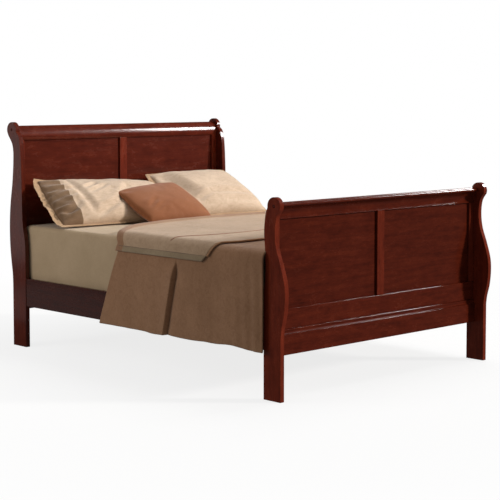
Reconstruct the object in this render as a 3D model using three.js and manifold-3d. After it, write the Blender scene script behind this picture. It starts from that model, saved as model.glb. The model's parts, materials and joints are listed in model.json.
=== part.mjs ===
// Queen-size sleigh bed: scrolled posts, frame-and-panel headboard and footboard, hooked side
// rails, a slatted base on a centre beam, and the dressed mattress.
//
// Millimetres. +Z is up, +Y runs from the foot of the bed to its head, +X across it.
// The origin is on the floor, at the middle of the bed's outline.

import * as THREE from 'three';
import { mergeVertices } from 'three/addons/utils/BufferGeometryUtils.js';
import Module from 'manifold-3d';

// ---------------------------------------------------------------- driving dimensions

const GAP = 0.3;                    // clearance kept between touching pieces

const BED_WIDTH = 1650;             // over the outer faces of the posts
const POST_THICKNESS = 27;
const FOOT_LEG_DEPTH = 118;         // foot leg, front to back
const HEAD_LEG_FRONT = -12;         // mattress side of the head leg, from HEAD_Y
const FOOT_TO_HEAD = 2154;          // outer face of the foot leg to HEAD_Y
const BELLY = 31;                   // how far the foot post's belly swells past its leg
const HEAD_SCROLL = { y: 118, z: 1293, radius: 46 };
const FOOT_SCROLL = { y: 48, z: 965, radius: 45 };

const BED_LENGTH = BELLY + FOOT_TO_HEAD + HEAD_SCROLL.y + HEAD_SCROLL.radius;
const FOOT_Y = BELLY - BED_LENGTH / 2;          // outer face of the foot legs
const HEAD_Y = FOOT_Y + FOOT_TO_HEAD;
const POST_OUTER = BED_WIDTH / 2;
const POST_INNER = POST_OUTER - POST_THICKNESS;
const SPAN = POST_INNER - GAP;                  // half length of a rail between two posts

const PANEL_THICKNESS = 6;
const TONGUE = 7;                   // panel edge held in its groove
const GROOVE_DEPTH = 8;
const CENTER_STILE = 56;            // full width
const SIDE_STILE = 41;              // width beside each post

// Each end's frame: face and back are y planes, the other values are heights.
const FOOT_FRAME = {
  face: FOOT_Y + 73, back: FOOT_Y + 97, panelFace: FOOT_Y + 85, panelBottom: 446, panelTop: 896,
};
const HEAD_FRAME = {
  face: HEAD_Y + 82, back: HEAD_Y + 102, panelFace: HEAD_Y + 92, panelBottom: 640, panelTop: 1231,
};
const FRAME_RAIL = 101;             // height of the rail below the panels
const MOULDING_HEIGHT = 25;
const MOULDING_PROUD = 6;
const LOWER_RAIL_PROUD = 12;
const LOWER_RAIL = { bottom: 216, top: 320 };

const RAIL_OUTER = 822;             // side rail's outer face
const RAIL_THICKNESS = 22;
const RAIL_BOTTOM = 246;
const RAIL_TOP = 412;

const CLEAT = { width: 28, height: 25, setback: 12 };
const BEAM = { width: 75, height: 50.7 };
const SLAT = { count: 7, width: 80, thickness: 18, firstFromPost: 90, endGap: 3 };
const SUPPORT_TOP = RAIL_BOTTOM + CLEAT.height;  // what the slats lie on

const LEG = { size: 45, bottom: 22, y: -235 };
const STEM = { radius: 5, clearance: 0.5, top: 60, spareBore: 5 };
const PAD = { radius: 22, chamfer: 2, edgeTop: 6, shoulderRadius: 17, shoulderTop: 10, top: 12 };

const HEAD_GAP = 27;                // from the mattress to the headboard
const FOUNDATION = { halfWidth: 770, length: 2020, height: 125.4 };
const MATTRESS = { halfWidth: 782, length: 2032, top: 722, corner: 30 };

const COMFORTER = {
  outer: 843, drop: 18, loft: 33, lift: 2, hem: 238, round: 38, footInset: 3, shoulder: 700,
};
const COMFORTER_FOLD_Y = FOOT_Y + 1235;         // where its fold crosses the mattress edge
const COMFORTER_HEM_Y = FOOT_Y + 1405;          // where its hem ends, nearer the head

const WOOD = 0x5a2016;
const DARK_WOOD = 0x3a1510;
const PINE = 0xb08a5c;
const STEEL = 0x8b8d90;
const BLACK_PLASTIC = 0x202020;
const TICKING = 0xb9a98c;
const KHAKI = 0x9c886c;
const TAUPE = 0x7a5b46;
const CREAM = 0xe8d6b8;
const RUST = 0x96593c;

const OVERCUT = 1;                  // how far a cutting tool passes the face it cuts

// ---------------------------------------------------------------- shape helpers

const wasm = await Module();
wasm.setup();

function toSolid(geometry) {
  const bare = geometry.clone();
  bare.deleteAttribute('normal');
  bare.deleteAttribute('uv');
  const merged = mergeVertices(bare);
  return new wasm.Manifold(new wasm.Mesh({
    numProp: 3,
    vertProperties: merged.attributes.position.array,
    triVerts: new Uint32Array(merged.index.array),
  }));
}

function fromSolid(solid) {
  const mesh = solid.getMesh();
  const geometry = new THREE.BufferGeometry();
  geometry.setAttribute('position', new THREE.BufferAttribute(mesh.vertProperties, 3));
  geometry.setIndex(new THREE.BufferAttribute(mesh.triVerts, 1));
  geometry.computeVertexNormals();
  return geometry;
}

function cut(geometry, tools) {
  let solid = toSolid(geometry);
  for (const tool of tools) solid = solid.subtract(toSolid(tool));
  return fromSolid(solid);
}

// A box between two opposite corners, given as ranges in either order.
function box(xRange, yRange, zRange) {
  const ranges = [xRange, yRange, zRange];
  const sizes = ranges.map(([a, b]) => Math.abs(b - a));
  const centers = ranges.map(([a, b]) => (a + b) / 2);
  return new THREE.BoxGeometry(...sizes).translate(...centers);
}

function outlineOf(points) {
  return new THREE.Shape(points.map(([a, b]) => new THREE.Vector2(a, b)));
}

function splineTo(outline, points) {
  outline.splineThru(points.map(([a, b]) => new THREE.Vector2(a, b)));
}

function extrude(outline, depth, curveSegments) {
  return new THREE.ExtrudeGeometry(outline, { depth, bevelEnabled: false, curveSegments });
}

const AXIS_X = new THREE.Vector3(1, 0, 0);
const AXIS_Y = new THREE.Vector3(0, 1, 0);
const AXIS_Z = new THREE.Vector3(0, 0, 1);

// A (y, z) outline carried from x = from to x = to.
function alongX(outline, from, to, curveSegments = 6) {
  const turn = new THREE.Matrix4().makeBasis(AXIS_Y, AXIS_Z, AXIS_X);
  return extrude(outline, to - from, curveSegments).applyMatrix4(turn).translate(from, 0, 0);
}

// An (x, z) outline carried from y = from to y = to.
function alongY(outline, from, to, curveSegments = 6) {
  const turn = new THREE.Matrix4().makeBasis(AXIS_X, AXIS_Z, AXIS_Y.clone().negate());
  return extrude(outline, to - from, curveSegments).applyMatrix4(turn).translate(0, to, 0);
}

// An (x, y) outline carried from z = from to z = to.
function alongZ(outline, from, to) {
  return extrude(outline, to - from, 6).translate(0, 0, from);
}

const bed = new THREE.Group();

function add(name, geometry, color, roughness = 0.35, metalness = 0) {
  const material = new THREE.MeshStandardMaterial({ color, roughness, metalness });
  const mesh = new THREE.Mesh(geometry, material);
  mesh.name = name;
  bed.add(mesh);
}

const SIDES = [
  { side: 'left', sign: -1 },
  { side: 'right', sign: 1 },
];

// The hook joints: jointY is the post face that the rail's end meets, and towards points
// from that face along the rail.
const ENDS = [
  { end: 'foot', jointY: FOOT_Y + FOOT_LEG_DEPTH, towards: 1, scroll: FOOT_SCROLL, postY: FOOT_Y },
  { end: 'head', jointY: HEAD_Y + HEAD_LEG_FRONT, towards: -1, scroll: HEAD_SCROLL, postY: HEAD_Y },
];

// ---------------------------------------------------------------- posts

const degrees = THREE.MathUtils.degToRad;

// Both outlines are (y, z): y from the post's own datum, z from the floor.
function footPostOutline() {
  const { y, z, radius } = FOOT_SCROLL;
  const frontStart = degrees(200);
  const backEnd = degrees(-10);
  const outline = new THREE.Shape();
  outline.moveTo(0, 0);
  outline.lineTo(0, 320);
  splineTo(outline, [
    [-6, 368], [-24, 440], [-BELLY, 522], [-25, 590], [0, 672], [31, 757], [41, 834], [33, 906],
    [y + radius * Math.cos(frontStart), z + radius * Math.sin(frontStart)],
  ]);
  outline.absarc(y, z, radius, frontStart, backEnd, true);
  splineTo(outline, [
    [105, 925], [112, 880], [115, 828], [108, 735], [104, 662], [109, 594],
    [116, 548], [FOOT_LEG_DEPTH, 500],
  ]);
  outline.lineTo(FOOT_LEG_DEPTH, 0);
  return outline;
}

function headPostOutline() {
  const { y, z, radius } = HEAD_SCROLL;
  const frontStart = degrees(195);
  const backEnd = degrees(-15);
  const outline = new THREE.Shape();
  outline.moveTo(HEAD_LEG_FRONT, 0);
  outline.lineTo(HEAD_LEG_FRONT, 560);
  splineTo(outline, [
    [-10, 606], [-2, 664], [10, 716], [16, 782], [18, 884], [20, 992], [24, 1100],
    [29, 1170], [36, 1223], [50, 1261],
    [y + radius * Math.cos(frontStart), z + radius * Math.sin(frontStart)],
  ]);
  outline.absarc(y, z, radius, frontStart, backEnd, true);
  splineTo(outline, [
    [150, 1258], [129, 1233], [111, 1205], [103, 1168], [102, 1130], [106, 1060], [116, 970],
    [132, 880], [143, 790], [147, 690], [143, 590], [132, 500], [121, 430], [118, 360],
  ]);
  outline.lineTo(118, 0);
  return outline;
}

const PLATE = { halfWidth: 8, thickness: 2.5, bottom: 270, top: 390 };
const PLATE_SLOTS = [[285, 313], [345, 373]];
const SLOT_HALF_WIDTH = 2.6;
const HOOK = { thickness: 3.4, shank: 60, root: 1, inset: 6, reach: 12, depth: 12, hang: 11 };
const HOOK_POCKET = { halfWidth: 4, spare: 5, inset: 2 };
const KERF = { halfWidth: 2, spare: 2, inset: 5 };
const RAIL_CENTER = RAIL_OUTER - RAIL_THICKNESS / 2;
const PLUG = { radius: 7.7, depth: 7.5, dome: 1.5 };

// Mortise for the slotted plate, with a deeper slot behind it for the hooks.
function plateMortise(sign, { jointY, towards }) {
  const inward = (distance) => jointY - towards * distance;
  const x = sign * RAIL_CENTER;
  const halfWidth = PLATE.halfWidth + GAP;
  return [
    box(
      [x - halfWidth, x + halfWidth],
      [inward(-OVERCUT), inward(PLATE.thickness + GAP)],
      [PLATE.bottom - GAP, PLATE.top + GAP],
    ),
    box(
      [x - HOOK_POCKET.halfWidth, x + HOOK_POCKET.halfWidth],
      [inward(0), inward(HOOK.reach + HOOK_POCKET.spare)],
      [PLATE.bottom + HOOK_POCKET.inset, PLATE.top - HOOK_POCKET.inset],
    ),
  ];
}

function cylinderAlongX(radius, xRange, y, z, segments = 24) {
  const length = Math.abs(xRange[1] - xRange[0]);
  return new THREE.CylinderGeometry(radius, radius, length, segments)
    .rotateZ(Math.PI / 2)
    .translate((xRange[0] + xRange[1]) / 2, y, z);
}

function addPosts() {
  const outlines = { foot: footPostOutline(), head: headPostOutline() };
  for (const joint of ENDS) {
    const plugY = joint.postY + joint.scroll.y;
    for (const { side, sign } of SIDES) {
      const faces = [sign * POST_INNER, sign * POST_OUTER].sort((a, b) => a - b);
      const blank = alongX(outlines[joint.end], faces[0], faces[1]).translate(0, joint.postY, 0);
      const plugBore = cylinderAlongX(
        PLUG.radius + GAP,
        [sign * (POST_OUTER - PLUG.depth - GAP), sign * (POST_OUTER + OVERCUT)],
        plugY,
        joint.scroll.z,
      );
      const post = cut(blank, [...plateMortise(sign, joint), plugBore]);
      add(`${joint.end}_post_${side}`, post, DARK_WOOD);
      add(`${joint.end}_scroll_plug_${side}`, scrollPlug(sign, plugY, joint.scroll.z), DARK_WOOD);
    }
  }
}

// A short dowel with a domed face, covering the screw that holds the top roll.
function scrollPlug(sign, y, z) {
  const { radius, depth, dome } = PLUG;
  const profile = [[0, -depth], [radius, -depth], [radius, 0], [radius * 0.6, dome * 0.75], [0, dome]];
  return new THREE.LatheGeometry(profile.map(([r, h]) => new THREE.Vector2(r, h)), 24)
    .rotateZ(-sign * Math.PI / 2)
    .translate(sign * POST_OUTER, y, z);
}

// ---------------------------------------------------------------- headboard and footboard

// Section of the top roll, as (distance, height): distance grows away from the rounded back,
// and height is from the lip that covers the panels' top edge.
const ROLL_SECTION = {
  back: [[4, 0], [1, 12], [0, 26], [2, 40], [6, 53], [13, 65], [22, 75]],
  top: [[32, 83], [39, 86], [45, 83]],
  nose: { distance: 52, height: 71, radius: 8 },
  cove: [[49, 63], [33, 52], [23, 40], [19, 25], [22, 11], [28, 0]],
};

// y of the roll's back, and the direction in which its nose points.
const FOOT_ROLL = { backY: FOOT_Y + 101, outward: -1 };
const HEAD_ROLL = { backY: HEAD_Y + 79, outward: 1 };

function rollOutline({ backY, outward }, frame) {
  const place = ([distance, height]) => [backY + outward * distance, frame.panelTop + height];
  const { back, top, nose, cove } = ROLL_SECTION;
  const noseCap = [];
  for (let turn = 120; turn >= -60; turn -= 30) {
    const angle = degrees(turn);
    noseCap.push([
      nose.distance + nose.radius * Math.cos(angle),
      nose.height + nose.radius * Math.sin(angle),
    ]);
  }
  const points = [...back, ...top, ...noseCap].map(place);
  const outline = new THREE.Shape();
  outline.moveTo(...points[0]);
  splineTo(outline, points.slice(1));
  splineTo(outline, cove.map(place));
  return outline;
}

function panelGroove(frame, zRange) {
  const front = frame.panelFace - GAP;
  const back = frame.panelFace + PANEL_THICKNESS + GAP;
  return box([-SPAN - OVERCUT, SPAN + OVERCUT], [front, back], zRange);
}

function topRoll(roll, frame) {
  const blank = alongX(rollOutline(roll, frame), -SPAN, SPAN, 3);
  const { panelTop } = frame;
  return cut(blank, [panelGroove(frame, [panelTop - OVERCUT, panelTop + GROOVE_DEPTH])]);
}

function stile(frame, xRange, grooveSides) {
  const { face, back, panelFace, panelBottom, panelTop } = frame;
  const blank = box(xRange, [face, back], [panelBottom + GAP, panelTop - GAP]);
  const grooves = grooveSides.map((grooveSign) => {
    const edge = grooveSign > 0 ? Math.max(...xRange) : Math.min(...xRange);
    return box(
      [edge - grooveSign * GROOVE_DEPTH, edge + grooveSign * OVERCUT],
      [panelFace - GAP, panelFace + PANEL_THICKNESS + GAP],
      [panelBottom, panelTop],
    );
  });
  return cut(blank, grooves);
}

function panel(frame, sign) {
  const inner = sign * (CENTER_STILE / 2 - TONGUE);
  const outer = sign * (SPAN - SIDE_STILE + TONGUE);
  return box(
    [inner, outer],
    [frame.panelFace, frame.panelFace + PANEL_THICKNESS],
    [frame.panelBottom - TONGUE, frame.panelTop + TONGUE],
  );
}

function railUnderPanels(frame) {
  const { face, back, panelBottom } = frame;
  const blank = box([-SPAN, SPAN], [face, back], [panelBottom - FRAME_RAIL, panelBottom]);
  return cut(blank, [panelGroove(frame, [panelBottom - GROOVE_DEPTH, panelBottom + OVERCUT])]);
}

function addFrame(end, frame, roll) {
  add(`${end}_top_roll`, topRoll(roll, frame), WOOD, 0.25);
  add(`${end}_center_stile`, stile(frame, [-CENTER_STILE / 2, CENTER_STILE / 2], [-1, 1]), WOOD);
  for (const { side, sign } of SIDES) {
    const edges = [sign * SPAN, sign * (SPAN - SIDE_STILE)];
    add(`${end}_side_stile_${side}`, stile(frame, edges, [-sign]), WOOD);
    add(`${end}_panel_${side}`, panel(frame, sign), WOOD);
  }
  add(`${end}_panel_rail`, railUnderPanels(frame), WOOD);
}

// Face of the moulding from its top edge down, as (distance in from the front, drop).
const MOULDING_NOSE = [[1, 1], [0, 4], [0, 8]];
const MOULDING_HOLLOW = [[1.5, 14], [-0.5, 19.4], [-4, 24.4]];
const MOULDING_EDGE = 4;

// A strip with a hollow front, between the footboard's two lower rails.
function footMoulding() {
  const bottom = LOWER_RAIL.top + GAP;
  const top = bottom + MOULDING_HEIGHT - 2 * GAP;
  const front = FOOT_FRAME.face - MOULDING_PROUD;
  const place = ([inward, drop]) => [front + inward, top - drop];
  const outline = new THREE.Shape();
  outline.moveTo(FOOT_FRAME.back, bottom);
  outline.lineTo(FOOT_FRAME.back, top);
  outline.lineTo(front + MOULDING_EDGE, top);
  splineTo(outline, MOULDING_NOSE.map(place));
  splineTo(outline, MOULDING_HOLLOW.map(place));
  return alongX(outline, -SPAN, SPAN, 3);
}

function lowerRail(frame) {
  return box(
    [-SPAN, SPAN],
    [frame.face - LOWER_RAIL_PROUD, frame.back],
    [LOWER_RAIL.bottom, LOWER_RAIL.top],
  );
}

function addFootboardAndHeadboard() {
  addFrame('foot', FOOT_FRAME, FOOT_ROLL);
  addFrame('head', HEAD_FRAME, HEAD_ROLL);
  add('foot_moulding', footMoulding(), WOOD);
  add('foot_lower_rail', lowerRail(FOOT_FRAME), WOOD);
  add('head_lower_rail', lowerRail(HEAD_FRAME), WOOD);
}

// ---------------------------------------------------------------- side rails and hook joints

function sideRail(sign) {
  const blank = box(
    [sign * (RAIL_OUTER - RAIL_THICKNESS), sign * RAIL_OUTER],
    [ENDS[0].jointY + GAP, ENDS[1].jointY - GAP],
    [RAIL_BOTTOM, RAIL_TOP],
  );
  const kerfs = ENDS.map(({ jointY, towards }) => box(
    [sign * RAIL_CENTER - KERF.halfWidth, sign * RAIL_CENTER + KERF.halfWidth],
    [jointY - towards * OVERCUT, jointY + towards * (HOOK.shank + KERF.spare)],
    [PLATE.bottom + KERF.inset, PLATE.top - KERF.inset],
  ));
  return cut(blank, kerfs);
}

function postPlate(sign, { jointY, towards }) {
  const x = sign * RAIL_CENTER;
  const outerFace = jointY - towards * GAP / 3;
  const blank = box(
    [x - PLATE.halfWidth, x + PLATE.halfWidth],
    [outerFace, outerFace - towards * PLATE.thickness],
    [PLATE.bottom, PLATE.top],
  );
  const through = PLATE.thickness + OVERCUT;
  const slots = PLATE_SLOTS.map((zRange) => box(
    [x - SLOT_HALF_WIDTH, x + SLOT_HALF_WIDTH],
    [jointY - through, jointY + through],
    zRange,
  ));
  return cut(blank, slots);
}

// A flat steel hook plate: its shank lies in the rail's kerf, and two hooks pass through the
// post plate's slots and hang behind it.
function railHook(sign, { jointY, towards }) {
  const at = (distance) => jointY + towards * distance;
  const rear = at(-PLATE.thickness - 2 * GAP);
  const root = at(HOOK.root);
  const [bottom, top] = [PLATE.bottom + HOOK.inset, PLATE.top - HOOK.inset];
  const points = [[at(HOOK.shank), top], [root, top]];
  for (const [slotBottom] of [...PLATE_SLOTS].reverse()) {
    const seat = slotBottom + GAP;
    points.push(
      [root, seat + HOOK.depth],
      [at(-HOOK.reach), seat + HOOK.depth],
      [at(-HOOK.reach), seat - HOOK.hang],
      [rear, seat - HOOK.hang],
      [rear, seat],
      [root, seat],
    );
  }
  points.push([root, bottom], [at(HOOK.shank), bottom]);
  const x = sign * RAIL_CENTER;
  return alongX(outlineOf(points), x - HOOK.thickness / 2, x + HOOK.thickness / 2);
}

function cleat(sign) {
  const outer = RAIL_OUTER - RAIL_THICKNESS - GAP;
  return box(
    [sign * outer, sign * (outer - CLEAT.width)],
    [ENDS[0].jointY + CLEAT.setback, ENDS[1].jointY - CLEAT.setback],
    [RAIL_BOTTOM, SUPPORT_TOP],
  );
}

function addSideRails() {
  for (const { side, sign } of SIDES) {
    add(`side_rail_${side}`, sideRail(sign), DARK_WOOD);
    add(`rail_cleat_${side}`, cleat(sign), PINE, 0.7);
    for (const joint of ENDS) {
      add(`${joint.end}_post_plate_${side}`, postPlate(sign, joint), STEEL, 0.4, 1);
      add(`${joint.end}_rail_hook_${side}`, railHook(sign, joint), STEEL, 0.4, 1);
    }
  }
}

// ---------------------------------------------------------------- slatted base

const STIRRUP = { wall: 3, depth: 45, height: 36 };
const BEAM_ENDS = {
  foot: { y: FOOT_FRAME.back, towards: 1 },
  head: { y: HEAD_FRAME.face - LOWER_RAIL_PROUD, towards: -1 },
};

// Open-topped steel stirrup, screwed to a lower rail, that carries one end of the beam.
function beamStirrup({ y, towards }) {
  const { wall, depth, height } = STIRRUP;
  const halfWidth = BEAM.width / 2 + GAP;
  const seat = SUPPORT_TOP - BEAM.height - GAP;
  const base = y + towards * GAP;
  const blank = box(
    [-halfWidth - wall, halfWidth + wall],
    [base, base + towards * depth],
    [seat - wall, seat + height],
  );
  const hollow = box(
    [-halfWidth, halfWidth],
    [base + towards * wall, base + towards * (depth + OVERCUT)],
    [seat, seat + height + OVERCUT],
  );
  return cut(blank, [hollow]);
}

function beam() {
  const clearance = STIRRUP.wall + 2 * GAP;
  return box(
    [-BEAM.width / 2, BEAM.width / 2],
    [BEAM_ENDS.foot.y + clearance, BEAM_ENDS.head.y - clearance],
    [SUPPORT_TOP - BEAM.height, SUPPORT_TOP],
  );
}

function supportLeg() {
  const half = LEG.size / 2;
  const top = SUPPORT_TOP - BEAM.height - GAP;
  const blank = box([-half, half], [LEG.y - half, LEG.y + half], [LEG.bottom, top]);
  const boreBottom = LEG.bottom - OVERCUT;
  const boreLength = STEM.top + STEM.spareBore - boreBottom;
  const boreRadius = STEM.radius + STEM.clearance;
  const bore = new THREE.CylinderGeometry(boreRadius, boreRadius, boreLength, 24)
    .rotateX(Math.PI / 2)
    .translate(0, LEG.y, boreBottom + boreLength / 2);
  return cut(blank, [bore]);
}

// A round pad on a stem that turns in the leg's bore.
function levellingFoot() {
  const profile = [
    [0, 0], [PAD.radius - PAD.chamfer, 0], [PAD.radius, PAD.chamfer], [PAD.radius, PAD.edgeTop],
    [PAD.shoulderRadius, PAD.shoulderTop], [STEM.radius, PAD.top], [STEM.radius, STEM.top],
    [0, STEM.top],
  ];
  return new THREE.LatheGeometry(profile.map(([r, h]) => new THREE.Vector2(r, h)), 24)
    .rotateX(Math.PI / 2)
    .translate(0, LEG.y, 0);
}

function slat(index) {
  const first = ENDS[0].jointY + SLAT.firstFromPost;
  const last = ENDS[1].jointY - SLAT.firstFromPost;
  const y = first + (last - first) * index / (SLAT.count - 1);
  const end = RAIL_OUTER - RAIL_THICKNESS - SLAT.endGap;
  return box(
    [-end, end],
    [y - SLAT.width / 2, y + SLAT.width / 2],
    [SUPPORT_TOP + GAP, SUPPORT_TOP + GAP + SLAT.thickness],
  );
}

function addBase() {
  add('center_beam', beam(), PINE, 0.7);
  for (const end of ['foot', 'head']) {
    add(`${end}_beam_stirrup`, beamStirrup(BEAM_ENDS[end]), STEEL, 0.4, 1);
  }
  add('support_leg', supportLeg(), PINE, 0.7);
  add('levelling_foot', levellingFoot(), BLACK_PLASTIC, 0.6);
  for (let index = 0; index < SLAT.count; index += 1) {
    add(`slat_${index + 1}`, slat(index), PINE, 0.7);
  }
}

// ---------------------------------------------------------------- mattress and bedding

// A rectangle about the origin with quarter-round corners.
function roundedRectangle(halfWidth, yRange, radius) {
  const [low, high] = yRange;
  const outline = new THREE.Shape();
  outline.moveTo(-halfWidth + radius, low);
  outline.absarc(halfWidth - radius, low + radius, radius, -Math.PI / 2, 0, false);
  outline.absarc(halfWidth - radius, high - radius, radius, 0, Math.PI / 2, false);
  outline.absarc(-halfWidth + radius, high - radius, radius, Math.PI / 2, Math.PI, false);
  outline.absarc(-halfWidth + radius, low + radius, radius, Math.PI, Math.PI * 1.5, false);
  return outline;
}

function addMattress() {
  const foundationBottom = SUPPORT_TOP + SLAT.thickness + 2 * GAP;
  const foundationTop = foundationBottom + FOUNDATION.height;
  const headEnd = HEAD_FRAME.face - HEAD_GAP;
  const foundationY = [headEnd - FOUNDATION.length, headEnd];
  const foundation = roundedRectangle(FOUNDATION.halfWidth, foundationY, MATTRESS.corner);
  add('foundation', alongZ(foundation, foundationBottom, foundationTop), TICKING, 0.9);
  const mattressY = [headEnd - MATTRESS.length, headEnd];
  const mattress = roundedRectangle(MATTRESS.halfWidth, mattressY, MATTRESS.corner);
  add('mattress', alongZ(mattress, foundationTop + GAP, MATTRESS.top), KHAKI, 0.9);
}

// An upside-down U over the mattress. Its hanging sides have slanted head ends, so that the hem
// is their longer edge.
function comforter() {
  const { outer, drop, loft, lift, hem, round, footInset, shoulder } = COMFORTER;
  const inner = outer - drop;
  const under = MATTRESS.top + lift;
  const top = under + loft;
  const section = new THREE.Shape();
  section.moveTo(-outer, hem);
  section.lineTo(-outer, top - round);
  section.absarc(-outer + round, top - round, round, Math.PI, Math.PI / 2, true);
  section.absarc(outer - round, top - round, round, Math.PI / 2, 0, true);
  section.lineTo(outer, hem);
  section.lineTo(inner, hem);
  section.lineTo(inner, under);
  section.lineTo(-inner, under);
  section.lineTo(-inner, hem);
  const blank = alongY(section, ENDS[0].jointY + footInset, COMFORTER_HEM_Y);
  const slant = outlineOf([
    [COMFORTER_HEM_Y, hem],
    [COMFORTER_FOLD_Y, top],
    [COMFORTER_FOLD_Y, top + OVERCUT],
    [COMFORTER_HEM_Y + OVERCUT, top + OVERCUT],
    [COMFORTER_HEM_Y + OVERCUT, hem],
  ]);
  return cut(blank, [
    alongX(slant, -outer - OVERCUT, -shoulder),
    alongX(slant, shoulder, outer + OVERCUT),
  ]);
}

// A pillow-shaped solid: a rounded rectangle in plan, thick in the middle, thin at its edges,
// and flat where it rests on the mattress.
function pillow({ width, height, thickness, x, y, z, lean }) {
  const ball = new THREE.SphereGeometry(1, 28, 14).deleteAttribute('uv').deleteAttribute('normal');
  const geometry = mergeVertices(ball);
  const position = geometry.attributes.position;
  const squared = (value, power) => Math.sign(value) * Math.abs(value) ** power;
  for (let index = 0; index < position.count; index += 1) {
    const [px, py, pz] = [position.getX(index), position.getY(index), position.getZ(index)];
    const ring = Math.hypot(px, pz);
    const across = ring > 0 ? px / ring : 0;
    const along = ring > 0 ? pz / ring : 0;
    position.setXYZ(
      index,
      width / 2 * ring ** 0.8 * squared(across, 0.45),
      -height / 2 * ring ** 0.8 * squared(along, 0.45),
      thickness / 2 * squared(py, 1.1),
    );
  }
  const leaning = geometry.rotateX(degrees(lean)).translate(x, y, z);
  const reach = width + height;
  const below = box([x - reach, x + reach], [y - reach, y + reach], [0, MATTRESS.top + GAP]);
  return cut(leaning, [below]);
}

const PILLOWS = {
  pillow_left: {
    width: 900, height: 435, thickness: 130, x: -335, y: FOOT_Y + 1978, z: 860, lean: 37,
  },
  pillow_right: {
    width: 665, height: 435, thickness: 130, x: 458, y: FOOT_Y + 1978, z: 860, lean: 37,
  },
  accent_pillow: {
    width: 470, height: 325, thickness: 74, x: -42, y: FOOT_Y + 1783, z: 836, lean: 38,
  },
};

function addBedding() {
  add('comforter', comforter(), TAUPE, 0.9);
  for (const [name, place] of Object.entries(PILLOWS)) {
    add(name, pillow(place), name === 'accent_pillow' ? RUST : CREAM, 0.9);
  }
}

// ---------------------------------------------------------------- assembly

addPosts();
addFootboardAndHeadboard();
addSideRails();
addBase();
addMattress();
addBedding();

export default bed;
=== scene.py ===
"""Sleigh bed: the visible surfaces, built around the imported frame.

Metres, +Z up, +Y from the foot of the bed to its head, +X across it, as in the frame.
"""

import json
import math

import bmesh
import bpy
import numpy as np
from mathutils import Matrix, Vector, noise


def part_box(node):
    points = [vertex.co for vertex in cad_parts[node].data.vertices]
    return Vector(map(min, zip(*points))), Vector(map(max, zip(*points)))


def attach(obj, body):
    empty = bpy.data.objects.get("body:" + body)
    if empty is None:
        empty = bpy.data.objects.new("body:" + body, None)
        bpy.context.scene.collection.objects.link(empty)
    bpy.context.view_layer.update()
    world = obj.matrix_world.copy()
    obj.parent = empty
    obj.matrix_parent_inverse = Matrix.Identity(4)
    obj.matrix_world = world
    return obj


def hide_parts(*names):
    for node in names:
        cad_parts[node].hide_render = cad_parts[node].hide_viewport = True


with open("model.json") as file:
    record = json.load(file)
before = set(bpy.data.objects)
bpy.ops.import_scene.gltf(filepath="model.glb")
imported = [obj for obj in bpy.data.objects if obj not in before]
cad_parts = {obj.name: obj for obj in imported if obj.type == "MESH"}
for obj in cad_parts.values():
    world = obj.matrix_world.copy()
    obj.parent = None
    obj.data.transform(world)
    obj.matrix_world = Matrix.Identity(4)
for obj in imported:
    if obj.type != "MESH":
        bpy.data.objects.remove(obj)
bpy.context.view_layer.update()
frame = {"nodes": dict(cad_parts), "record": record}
RECORD = frame["record"]
SLOT_OF = {part["node"]: part["material_slot"] for part in RECORD["subparts"]}
BODY_OF = {
    node: body for body, nodes in RECORD["behaviour"]["bodies"].items() for node in nodes
}
BED = "bed"

MATTRESS_LOW, MATTRESS_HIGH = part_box("mattress")
COMFORTER_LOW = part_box("comforter")[0]
FOOT_LOW, FOOT_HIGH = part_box("foot_post_right")


# ------------------------------------------------------------------ node helpers


class Shader:
    """A material's node tree, with short calls for the nodes that the finishes share."""

    def __init__(self, name):
        self.material = bpy.data.materials.new(name)
        self.material.use_nodes = True
        self.nodes = self.material.node_tree.nodes
        self.links = self.material.node_tree.links
        self.surface = self.nodes["Principled BSDF"]
        self.place = self.add("ShaderNodeTexCoord").outputs["Object"]

    def feed(self, socket, value):
        if isinstance(value, bpy.types.NodeSocket):
            self.links.new(value, socket)
        else:
            socket.default_value = value

    def add(self, kind, inputs=None, **settings):
        node = self.nodes.new(kind)
        for key, value in settings.items():
            setattr(node, key, value)
        for key, value in (inputs or {}).items():
            self.feed(node.inputs[key], value)
        return node

    def set(self, **values):
        for key, value in values.items():
            self.feed(self.surface.inputs[key.replace("_", " ")], value)

    def scaled(self, scale, source=None):
        inputs = {"Vector": source or self.place, "Scale": scale}
        return self.add("ShaderNodeMapping", inputs).outputs["Vector"]

    def noise(self, vector, scale, detail=4.0, roughness=0.55, distortion=0.0):
        inputs = {
            "Vector": vector, "Scale": scale, "Detail": detail,
            "Roughness": roughness, "Distortion": distortion,
        }
        return self.add("ShaderNodeTexNoise", inputs).outputs["Fac"]

    def ramp(self, factor, stops):
        node = self.add("ShaderNodeValToRGB", {"Fac": factor})
        elements = node.color_ramp.elements
        while len(elements) < len(stops):
            elements.new(0.5)
        for element, (position, color) in zip(elements, stops):
            element.position = position
            element.color = (*color, 1.0)
        return node.outputs["Color"]

    def mix(self, factor, a, b, blend="MIX"):
        inputs = {0: factor, 6: a, 7: b}
        return self.add("ShaderNodeMix", inputs, data_type="RGBA", blend_type=blend).outputs[2]

    def math(self, operation, a, b=0.0):
        node = self.add("ShaderNodeMath", {0: a, 1: b}, operation=operation)
        return node.outputs[0]

    def bump(self, height, strength, distance):
        inputs = {"Height": height, "Strength": strength, "Distance": distance}
        self.set(Normal=self.add("ShaderNodeBump", inputs).outputs["Normal"])


# ------------------------------------------------------------------ finishes

# Linear colours.
CHERRY_DARK = (0.026, 0.0040, 0.0022)
CHERRY_MID = (0.088, 0.0122, 0.0052)
CHERRY_LIGHT = (0.150, 0.0240, 0.0088)
GRAIN_STRETCH = {"x": (1.0, 14.0, 14.0), "y": (14.0, 1.0, 14.0), "z": (14.0, 14.0, 1.0)}


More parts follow.
